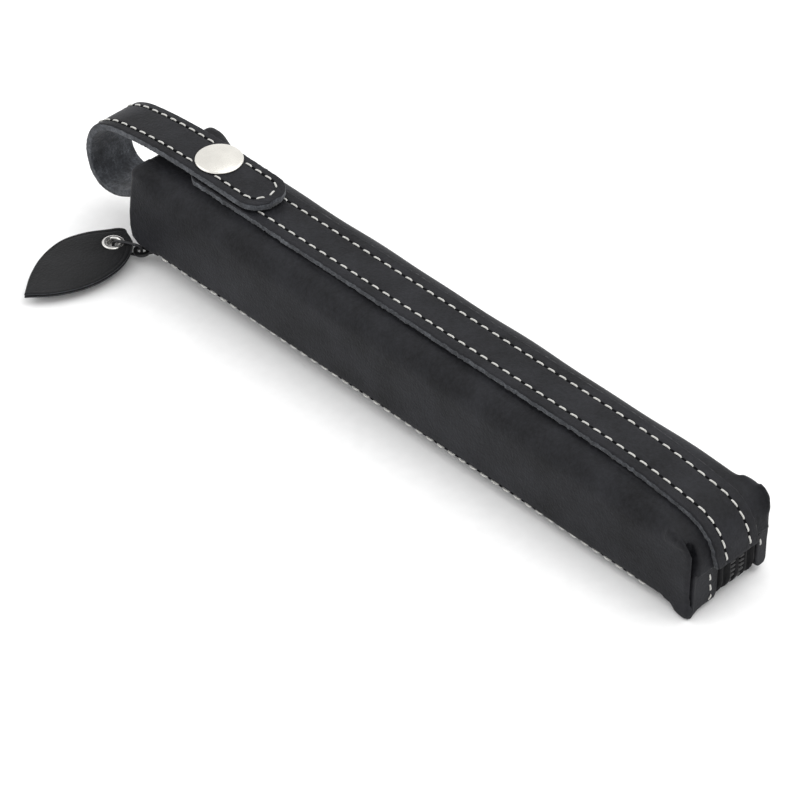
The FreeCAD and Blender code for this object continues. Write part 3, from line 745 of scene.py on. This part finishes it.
# ---- stitches beside the mouth ----
def edge_seam(side):
    """Along the underside's rounded edge."""
    lean = math.radians(31.0)
    reach = EDGE_RADIUS + 0.06
    x = np.arange(-90.0, 84.1, 0.5)
    y = np.full(len(x), side * (HALF_WIDTH - EDGE_RADIUS + reach * math.cos(lean)))
    z = np.full(len(x), EDGE_RADIUS - reach * math.sin(lean))
    line = np.column_stack([x, y, z])
    normal = np.repeat([[0, side * math.cos(lean), -math.sin(lean)]], len(x), axis=0)
    return line, normal


def flap_seam(y_top, y_low, x_end, way):
    """Down an end flap beside the zip and under its lower corner."""
    z = np.linspace(SEAM_Z - 0.5, 0.6, 24)
    y = y_low + (y_top - y_low) * smoothstep(3.0, 10.0, z) + np.sign(y_low) * 0.9 * smoothstep(2.4, 0.4, z)
    under = 1 - smoothstep(0.3, 2.6, z)
    x = x_end - way * (0.78 + 1.1 * under ** 2)
    normal = np.column_stack([way * np.cos(under), np.zeros(24), -np.sin(under)])
    return np.column_stack([x, y, z]), normal


# each flap's stitches by (side, end): y at the top and y at the bottom
FLAP_ROWS = {(-1, 1): (-7.2, -6.7), (1, 1): (10.4, 10.8), (-1, -1): (-9.0, -8.6), (1, -1): (9.0, 8.6)}

for side, label in ((-1, "near"), (1, "far")):
    stitches, holes = seam(*edge_seam(side), PITCH, 2.0)
    for x_end, way in ((X_RIGHT, 1), (X_LEFT, -1)):
        tucked = (lambda at: at[2] < 6.0) if (side, way) == (1, 1) else None
        more = seam(*flap_seam(*FLAP_ROWS[side, way], x_end, way), 3.5, 3.4, tucked)
        stitches += more[0]
        holes += more[1]
    threads = place_all(f"edge_threads_{label}", thread_template(2.45), stitches, THREAD_MAT)
    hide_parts(f"edge_stitches_{label}")
    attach(threads, "case")
    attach(place_all(f"edge_needle_holes_{label}", hole_template(), holes, HOLE_MAT), "case")


# ---- turned metal ----
def turned(name, profile, centre, material, segments=72):
    """Solid turned about an upright axis. profile holds (radius, height) points."""
    angles = np.linspace(0, 2 * np.pi, segments, endpoint=False)
    points = [(centre[0] + r * math.cos(a), centre[1] + r * math.sin(a), z) for r, z in profile for a in angles]
    faces = ring_faces(len(profile), segments)
    if profile[0] != profile[-1]:
        faces += end_caps(len(profile), segments)
    return make(name, points, faces, [material])


def cap_profile():
    """A short post, a flat underside, a rolled rim and a low dome."""
    base = TONGUE_TOP - 0.02
    profile = [(1.5, base - 1.9), (1.5, base), (5.9, base), (6.2, base + 0.08), (6.35, base + 0.25),
               (6.33, base + 0.42), (6.18, base + 0.58), (5.95, base + 0.68)]
    profile += [(r, base + 0.68 + 0.75 * (1 - (r / 5.95) ** 2)) for r in np.linspace(5.7, 0.05, 18)]
    return profile


cap = turned("snap_cap_dome", cap_profile(), (SNAP_X, 0.0), CAP_MAT)
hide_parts("snap_cap")
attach(cap, "strap")


# ---- leaf pull ----
def leaf_outline():
    """The leaf's edge around its eyelet, with a sharp tip."""
    anchors = np.array([(1.0, 5.1), (-0.8, 5.7), (-2.4, 6.3), (-3.9, 5.4), (-5.4, 3.1), (-8.6, -2.3),
                        (-10.4, -9.0), (-9.0, -16.8), (-5.2, -24.0), (0.1, -30.6), (5.2, -24.2),
                        (8.5, -16.4), (9.1, -8.8), (7.7, -2.6), (4.9, 2.2), (3.1, 4.1), (1.0, 5.1)])
    tip = 9
    first, second = spline(anchors[:tip + 1], 0.2), spline(anchors[tip:], 0.2)
    return resample(np.vstack([first, second[1:]]), 0.2)[:-1]


def leaf_layer(name, low, high, crown):
    """One layer of the leaf, pierced for the eyelet, with rounded cut edges."""
    edge = leaf_outline()
    n = len(edge)
    angles = np.arctan2(edge[:, 1], edge[:, 0])
    hole = np.column_stack([np.cos(angles), np.sin(angles)]) * 2.05
    share = np.concatenate([np.linspace(0, 0.9, 22), [0.94, 0.97, 0.985, 1.0]])
    rings = []
    for top in (True, False):
        for t in share if top else share[::-1]:
            flat = hole * (1 - t) + edge * t
            inset = np.linalg.norm(edge - flat, axis=1)
            rim = 0.3 * np.clip(1 - inset / 0.35, 0, 1) ** 2
            lift = crown * (1 - t ** 2) * smoothstep(0.0, 0.3, t)
            line = 0.12 * np.exp(-((inset - 1.5) / 0.22) ** 2)
            height = high - rim + lift - line if top else np.full(n, low) + rim
            rings.append(np.column_stack([EYELET[0] + flat[:, 0], EYELET[1] + flat[:, 1], height]))
    count = len(rings)
    faces, indices = [], []
    for i in range(count):
        k = (i + 1) % count
        for j in range(n):
            m = (j + 1) % n
            faces.append((i * n + j, i * n + m, k * n + m, k * n + j)[::-1])
            indices.append(1 if i == len(share) - 1 else 0)
    return make(name, np.vstack(rings), faces, [LEAF_MAT, SUEDE_MAT], indices)


for name, low, high, crown in (("leaf_front", PULL_Z + 0.02, PULL_Z + LEAF_LAYER - 0.05, 0.12),
                               ("leaf_back", PULL_Z - LEAF_LAYER + 0.05, PULL_Z - 0.02, 0.0)):
    layer = leaf_layer(f"{name}_leather", low, high, crown)
    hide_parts(name)
    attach(layer, "leaf")

low, high = PULL_Z - LEAF_LAYER, PULL_Z + LEAF_LAYER
grommet_profile = [(1.7, low), (1.7, high + 0.05), (1.85, high + 0.24), (2.3, high + 0.32), (2.8, high + 0.22),
                   (3.1, high + 0.02), (2.0, high - 0.02), (2.0, low + 0.02), (3.1, low - 0.02),
                   (2.8, low - 0.22), (2.3, low - 0.3), (1.85, low - 0.22), (1.7, low)]
grommet = turned("leaf_grommet", grommet_profile, EYELET, ZIP_MAT, 56)
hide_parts("leaf_eyelet")
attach(grommet, "leaf")


# ---- zip tape and teeth ----
SLIDER_FROM, SLIDER_TO = -82.7, 80.7


def cloth(name, line, ys, offset, thick, node, body_name, shift=0.0):
    """Woven tape: a thin double surface over a line in XZ, moved along its normal by offset(s, y)."""
    normals = normals_of(line)
    s = lengths_along(line)
    n, m = len(line), len(ys)
    askew = shift * smoothstep(6.0, 13.5, s)
    layers = []
    for face in (0.0, thick):
        lift = offset(s[:, None], ys[None]) + face
        layers.append(np.dstack([line[:, None, 0] + normals[:, None, 0] * lift,
                                 ys[None] + askew[:, None],
                                 line[:, None, 1] + normals[:, None, 1] * lift]).reshape(-1, 3))
    faces = []
    for i in range(n - 1):
        for j in range(m - 1):
            a = i * m + j
            quad = (a, a + 1, a + m + 1, a + m)
            faces += [quad, tuple(v + n * m for v in quad[::-1])]
    rim = [*range(m)] + [i * m + m - 1 for i in range(1, n)]
    rim += [(n - 1) * m + j for j in range(m - 2, -1, -1)] + [i * m for i in range(n - 2, 0, -1)]
    for a, b in zip(rim, rim[1:] + rim[:1]):
        faces.append((b, a, a + n * m, b + n * m))
    obj = make(name, np.vstack(layers), faces, [TAPE_MAT])
    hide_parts(*node)
    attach(obj, body_name)


def flat_line(x0, x1, z):
    return resample(np.array([(x0, z), (x1, z)], float), 0.8)


def ripple(s, y):
    """A slight wave along the tape."""
    return 0.05 * np.sin(s / 1.9 + y) * np.ones_like(y)


for side, label in ((-1, "near"), (1, "far")):
    ys = np.sort(side * np.linspace(0.35, 9.6, 14))
    cloth(f"zip_tape_{label}", flat_line(SLIDER_FROM, SLIDER_TO, TAPE_Z), ys, ripple, TAPE_THICK,
          [f"tape_{label}"], f"mouth_{label}")
for name, y_low, y_high in (("zip_tape_margins", 10.0, 11.2), ("zip_tape_margin_near", -11.2, -10.0)):
    cloth(name, flat_line(SLIDER_FROM, SLIDER_TO, TAPE_Z), np.linspace(y_low, y_high, 4),
          lambda s, y: 0 * s + 0 * y, TAPE_THICK, ["tape_margins"], "case")


def end_line(x_from, x_face):
    """The tape's line from the underside up inside an end face."""
    way = math.copysign(1, x_face)
    inner = x_face - way * LEATHER
    return resample(filleted([(x_from, 1.5), (inner, 1.5), (inner, SEAM_Z - 0.9)], [2.7], 0.3), 0.35)


def gathers(bend_at, way):
    """Where the wide tape is squeezed between the flaps it stands in ribs along its length."""
    def offset(s, y):
        grow = smoothstep(bend_at - 1.3, bend_at + 1.8, s)
        between = 1 - smoothstep(5.6, 7.0, np.abs(y))
        rib = 0.5 + 0.5 * np.cos(2 * np.pi * y / 2.75 + 0.5 * np.sin(s / 2.0))
        return way * (0.05 - grow * between * (0.05 + 1.25 * rib))
    return offset


for x_from, x_join, x_face, node in ((SLIDER_TO + 0.3, 86.6, X_RIGHT, "tape_right_end"),
                                     (SLIDER_FROM - 0.3, -94.4, X_LEFT, "tape_left_end")):
    way = math.copysign(1, x_face)
    for side, label in ((-1, "near"), (1, "far")):
        cloth(f"zip_{node}_{label}", flat_line(x_from, x_join + way * 0.1, 1.5 if way > 0 else 1.9),
              np.sort(side * np.linspace(0.4, 8.8, 14)), ripple, 0.35 * way, [node], "case")
    cloth("zip_" + node, end_line(x_join, x_face), np.linspace(-8.8, 8.8, 90),
          gathers(abs(x_face - x_join) - 4.2, way), 0.35 * way, [node], "case",
          RIGHT_ZIP_SHIFT if way > 0 else 0.0)


def tooth_template(length=2.6, width=0.42, height=0.5):
    """One coil tooth: a rounded bar across the tape with a fuller tip."""
    return thread_template(length, width, height, 0.0)


def teeth_places(x0, x1, side):
    """Places for one side's teeth along the underside. The two sides interlock."""
    start = x0 + TOOTH_PITCH / 2
    shift = 0.35 * side
    return [((start + TOOTH_PITCH * i + shift, side * TOOTH_Y, TOOTH_Z), (0, 1, 0), (0, 0, -1))
            for i in range(int((x1 - x0) / TOOTH_PITCH))]


for side, label in ((-1, "near"), (1, "far")):
    teeth = place_all(f"zip_coil_{label}", tooth_template(), teeth_places(SLIDER_FROM, SLIDER_TO, side),
                      TEETH_MAT)
    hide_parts(f"teeth_{label}")
    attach(teeth, f"mouth_{label}")

left_places = teeth_places(-94.0, -83.1, -1) + teeth_places(-94.0, -83.1, 1)
left_teeth = place_all("zip_coil_left", tooth_template(), left_places, TEETH_MAT)
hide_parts("teeth_left_end")
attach(left_teeth, "case")



def end_teeth_places():
    """Places for the teeth on the right end's tape, in pairs every fourth point of its line."""
    line = end_line(81.0, X_RIGHT)
    normals = normals_of(line)
    places = []
    for i in range(2, len(line), 4):
        at, n = line[i], normals[i]
        askew = RIGHT_ZIP_SHIFT * float(smoothstep(11.6, 19.1, i * 0.35))
        for side in (-1, 1):
            places.append(((at[0] - n[0] * 0.55, side * TOOTH_Y + askew, at[1] - n[1] * 0.55), (0, 1, 0),
                           (-n[0], 0, -n[1])))
    return places


right_teeth = place_all("zip_coil_right", tooth_template(), end_teeth_places(), TEETH_MAT)
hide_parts("teeth_right_end")
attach(right_teeth, "case")


# ---- CAD pieces that stay ----
for node, material in (("snap_socket", CAP_MAT), ("snap_stud", CAP_MAT), ("snap_rivet", CAP_MAT),
                       ("slider_body", ZIP_MAT), ("slider_bridge", ZIP_MAT), ("pull_tab", TAB_MAT),
                       ("pull_ring", TAB_MAT), ("top_stops", ZIP_MAT), ("bottom_stop", ZIP_MAT)):
    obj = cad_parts[node]
    obj.data.materials.clear()
    obj.data.materials.append(material)


# ---- floor, light and camera ----
FLOOR_LOW, FLOOR_LOW_X = -5.4, -102.0       # just under the pull
FLOOR_HIGH, FLOOR_HIGH_X = -1.05, 95.0      # under the near right ear
FLOOR_SIZE, FLOOR_GAP = 6000.0, 0.02
CAMERA_AZIMUTH, CAMERA_ELEVATION = math.radians(45.88), math.radians(40.6)
CAMERA_DISTANCE, CAMERA_TARGET = 1.00041, (-0.00632, -0.00778, 0.0)    # in metres


def floor():
    """The case leans on its zip pull, so in the case's own frame the floor slopes a little."""
    material, tree, shader, coords = new_material("floor")
    paper = noise(tree, coords, 300.0, 3.0)
    tree.links.new(ramp(tree, paper, [(0.3, (0.9, 0.9, 0.9)), (0.7, (0.93, 0.93, 0.93))]),
                   shader.inputs["Base Color"])
    shader.inputs["Roughness"].default_value = 0.9
    slope = (FLOOR_HIGH - FLOOR_LOW) / (FLOOR_HIGH_X - FLOOR_LOW_X)
    corners = [(x, y, FLOOR_HIGH + slope * (x - FLOOR_HIGH_X) - FLOOR_GAP)
               for x, y in ((-FLOOR_SIZE, -FLOOR_SIZE), (FLOOR_SIZE, -FLOOR_SIZE), (FLOOR_SIZE, FLOOR_SIZE),
                            (-FLOOR_SIZE, FLOOR_SIZE))]
    mesh = bpy.data.meshes.new("floor")
    mesh.from_pydata([tuple(v * MM for v in c) for c in corners], [], [(0, 1, 2, 3)])
    mesh.materials.append(material)
    obj = bpy.data.objects.new("floor", mesh)
    bpy.context.scene.collection.objects.link(obj)


def lamp(name, place, size, power):
    """A square area lamp that points at the origin."""
    light = bpy.data.lights.new(name, "AREA")
    light.shape = "RECTANGLE"
    light.size = light.size_y = size
    light.energy = power
    obj = bpy.data.objects.new(name, light)
    obj.location = place
    obj.rotation_mode = "QUATERNION"
    obj.rotation_quaternion = (-Vector(place)).to_track_quat("-Z", "Y")
    bpy.context.scene.collection.objects.link(obj)


def studio():
    """A pale floor under an even white sky, with two soft lamps."""
    floor()
    world = bpy.data.worlds.new("studio")
    world.use_nodes = True
    world.node_tree.nodes["Background"].inputs["Color"].default_value = (1.0, 1.0, 1.0, 1.0)
    world.node_tree.nodes["Background"].inputs["Strength"].default_value = 1.1
    bpy.context.scene.world = world
    bpy.context.scene.view_settings.view_transform = "Standard"
    lamp("key", (0.3, 0.7, 1.5), 1.5, 12.0)
    lamp("fill", (-1.0, -0.7, 1.1), 1.2, 4.0)


def camera():
    """A long lens at the photograph's viewing angle."""
    level = math.cos(CAMERA_ELEVATION)
    back = Vector((math.sin(CAMERA_AZIMUTH) * level, -math.cos(CAMERA_AZIMUTH) * level,
                   math.sin(CAMERA_ELEVATION)))
    data = bpy.data.cameras.new("camera")
    data.lens, data.sensor_width = 180.0, 36.0
    obj = bpy.data.objects.new("camera", data)
    obj.location = Vector(CAMERA_TARGET) + back * CAMERA_DISTANCE
    obj.rotation_mode = "QUATERNION"
    obj.rotation_quaternion = (-back).to_track_quat("-Z", "Y")
    bpy.context.scene.collection.objects.link(obj)
    bpy.context.scene.camera = obj


studio()
camera()
